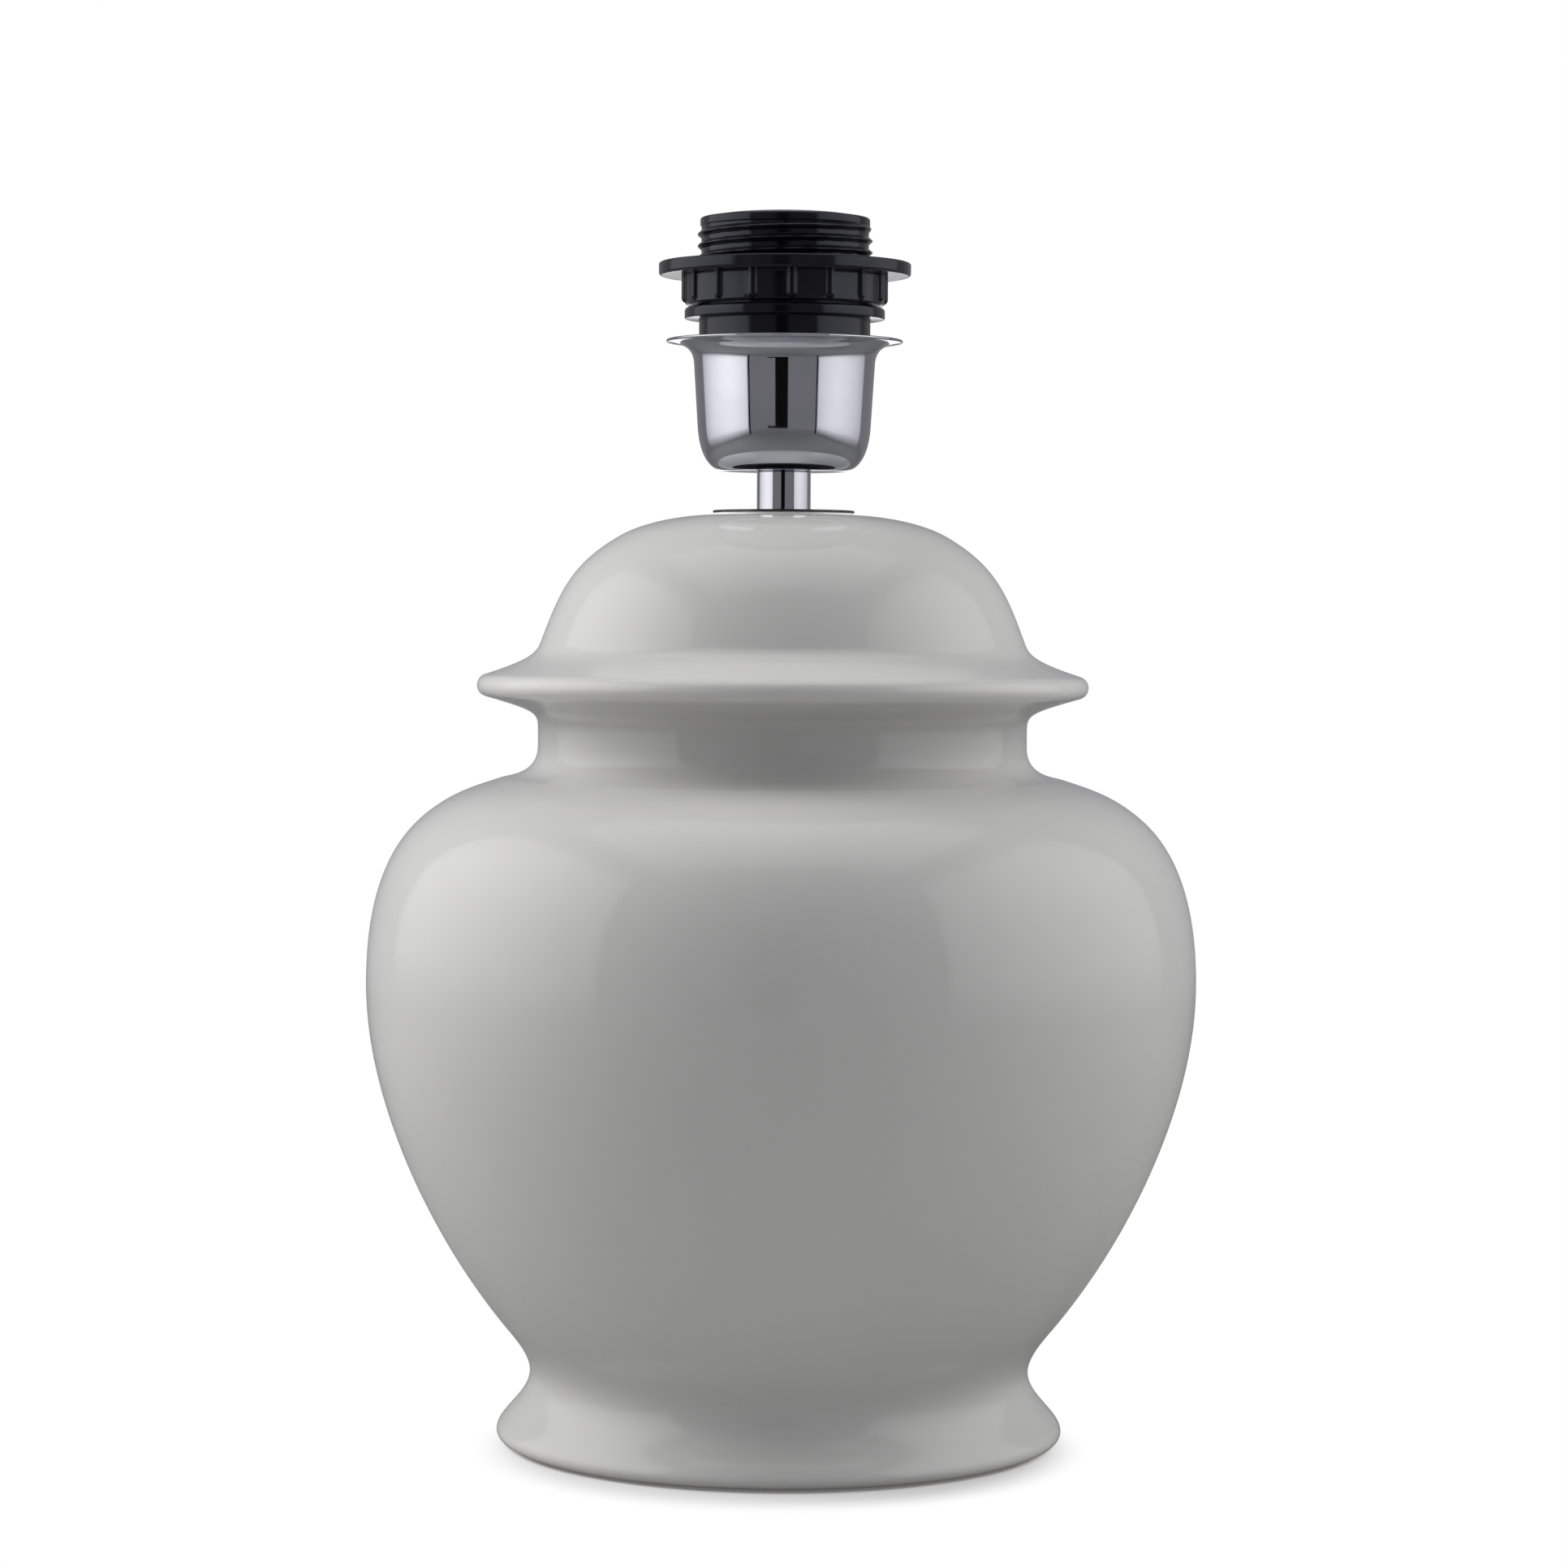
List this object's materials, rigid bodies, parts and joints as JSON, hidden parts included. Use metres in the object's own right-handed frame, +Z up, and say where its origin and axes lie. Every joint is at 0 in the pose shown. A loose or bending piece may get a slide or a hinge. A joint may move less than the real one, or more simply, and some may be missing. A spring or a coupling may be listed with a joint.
{
  "type": "table lamp base",
  "caption": "Glazed ceramic ginger-jar table lamp base with chrome cup, black E27 lampholder and screw-on shade ring, without its shade.",
  "frame": {"origin": "on the table, under the centre of the foot", "axes": "+Z up along the jar and the lampholder, -Y the front, +Y the back, where the cord hole is"},
  "size_m": [0.1898, 0.1898, 0.2802],
  "materials": {
    "felt": "dark needled wool felt",
    "glaze": "gloss warm-grey glaze over cast stoneware",
    "grommet_rubber": "soft black rubber",
    "gasket_rubber": "thin black rubber sheet",
    "gasket_silicone": "milky silicone sheet",
    "dark_steel": "blackened steel",
    "chrome": "bright chrome plate",
    "zinc_steel": "zinc-plated steel",
    "holder_black": "gloss black moulded plastic",
    "steatite": "unglazed pressed ceramic",
    "brass": "turned and pressed brass",
    "shell_metal": "nickel-plated rolled metal"
  },
  "bodies": {
    "lamp": {"base_felt": "felt", "jar_body": "glaze", "cord_grommet": "grommet_rubber", "seat_gasket": "gasket_silicone", "seat_washer": "dark_steel", "neck_tube": "chrome", "threaded_nipple": "zinc_steel", "inner_gasket": "gasket_rubber", "inner_washer": "zinc_steel", "lock_washer": "zinc_steel", "clamp_nut": "zinc_steel", "metal_cup": "chrome", "cup_lock_washer": "zinc_steel", "holder_cap": "holder_black", "cap_grub_screw": "zinc_steel", "terminal_block": "steatite", "terminal_clamps": "brass", "terminal_screws": "zinc_steel", "screw_shell": "shell_metal", "shell_rivets": "brass", "contact_rivet": "brass", "holder_skirt": "holder_black"},
    "ring": {"shade_ring": "holder_black"},
    "contact": {"centre_contact": "brass"}
  },
  "joints": [
    {"name": "shade_ring_travel", "type": "slide", "parent": "lamp", "child": "ring", "axis": [0, 0, 1], "range_m": [0, 0.0215]},
    {"name": "centre_contact_flex", "type": "hinge", "parent": "lamp", "child": "contact", "pos_m": [-0.0069, 0, 0.25345], "axis": [0, 1, 0], "range_deg": [0, 8], "stiffness_Nm_per_rad": 0.25, "springref_deg": -2.86}
  ]
}
